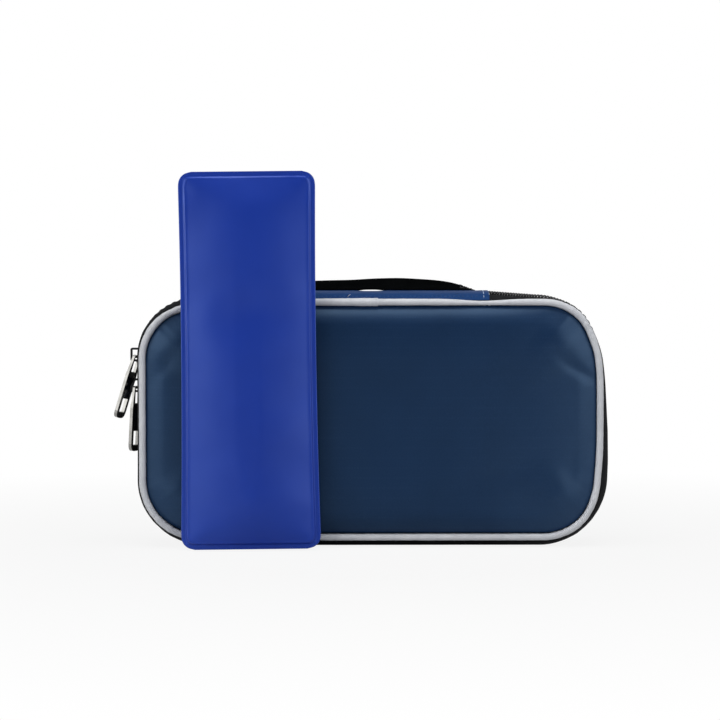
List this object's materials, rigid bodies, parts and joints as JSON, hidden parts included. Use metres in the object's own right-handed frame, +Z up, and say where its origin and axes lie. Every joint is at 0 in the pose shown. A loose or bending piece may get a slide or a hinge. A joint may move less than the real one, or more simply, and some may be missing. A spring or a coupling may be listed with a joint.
{
  "type": "insulin cooling case",
  "caption": "Padded zip case with rounded corners on a fabric spine with a carry handle, pen loops and a net pocket, and a flat gel cold pack that stands against it.",
  "frame": {"origin": "on the table, in the middle of the front shell's foot, the flat crest of its wall beside the zip", "axes": "+Z up, +X along the case to the right as seen from the front, the front panel faces -Y"},
  "size_m": [0.2143, 0.0595, 0.1611],
  "materials": {
    "navy_panel": "matte",
    "navy_strip": "matte",
    "foam": "matte",
    "foil_lining": "satin",
    "grey_piping": "matte",
    "black_fabric": "matte",
    "zip_tape": "matte",
    "zip_teeth": "satin",
    "net": "matte",
    "elastic": "matte",
    "webbing": "matte",
    "zip_metal": "polished",
    "pack_film": "satin",
    "gel": "gloss"
  },
  "bodies": {
    "front_shell": {"front_cover": "navy_panel", "front_foam": "foam", "front_lining": "foil_lining", "front_piping": "grey_piping", "front_gusset": "black_fabric", "front_zip_tape": "zip_tape", "front_zip_teeth": "zip_teeth", "mesh_pocket": "net", "pocket_elastic": "elastic"},
    "spine": {"spine_strip": "navy_strip", "spine_foam": "foam", "spine_lining": "foil_lining", "carry_handle": "webbing"},
    "back_shell": {"back_cover": "navy_panel", "back_foam": "foam", "back_lining": "foil_lining", "back_piping": "grey_piping", "back_gusset": "black_fabric", "back_zip_tape": "zip_tape", "back_zip_teeth": "zip_teeth", "left_pen_band": "elastic", "right_pen_band": "elastic"},
    "upper_slider": {"upper_slider": "zip_metal"},
    "lower_slider": {"lower_slider": "zip_metal"},
    "upper_pull": {"upper_pull": "zip_metal"},
    "lower_pull": {"lower_pull": "zip_metal"},
    "gel_pack": {"pack_front_film": "pack_film", "pack_back_film": "pack_film", "pack_gel": "gel"}
  },
  "joints": [
    {"name": "spine_fold", "type": "hinge", "parent": "front_shell", "child": "spine", "pos_m": [0, -0.00775, 0.10645], "axis": [1, 0, 0], "range_deg": [0, 90]},
    {"name": "back_fold", "type": "hinge", "parent": "spine", "child": "back_shell", "pos_m": [0, 0.02575, 0.10645], "axis": [1, 0, 0], "range_deg": [0, 90]},
    {"name": "upper_slider_run", "type": "hinge", "parent": "front_shell", "child": "upper_slider", "pos_m": [-0.0705, 0.009, 0.08095], "axis": [0, 1, 0], "range_deg": [0, 35]},
    {"name": "lower_slider_run", "type": "slide", "parent": "front_shell", "child": "lower_slider", "axis": [0, 0, -1], "range_m": [0, 0.034]},
    {"name": "upper_pull_swing", "type": "hinge", "parent": "upper_slider", "child": "upper_pull", "pos_m": [-0.10225, 0.009, 0.08155], "axis": [0.3271, 0.9397, -0.1], "range_deg": [0, 130]},
    {"name": "lower_pull_swing", "type": "hinge", "parent": "lower_slider", "child": "lower_pull", "pos_m": [-0.10225, 0.009, 0.06815], "axis": [0.3416, 0.9397, -0.0179], "range_deg": [0, 130]},
    {"name": "gel_pack_lift", "type": "slide", "parent": "front_shell", "child": "gel_pack", "axis": [0, 0, 1], "range_m": [0, 0.13]}
  ],
  "couplings": [
    {"joint": "back_fold", "follows": "spine_fold", "ratio": 1},
    {"joint": "upper_pull_swing", "follows": "lower_pull_swing", "ratio": 1}
  ]
}
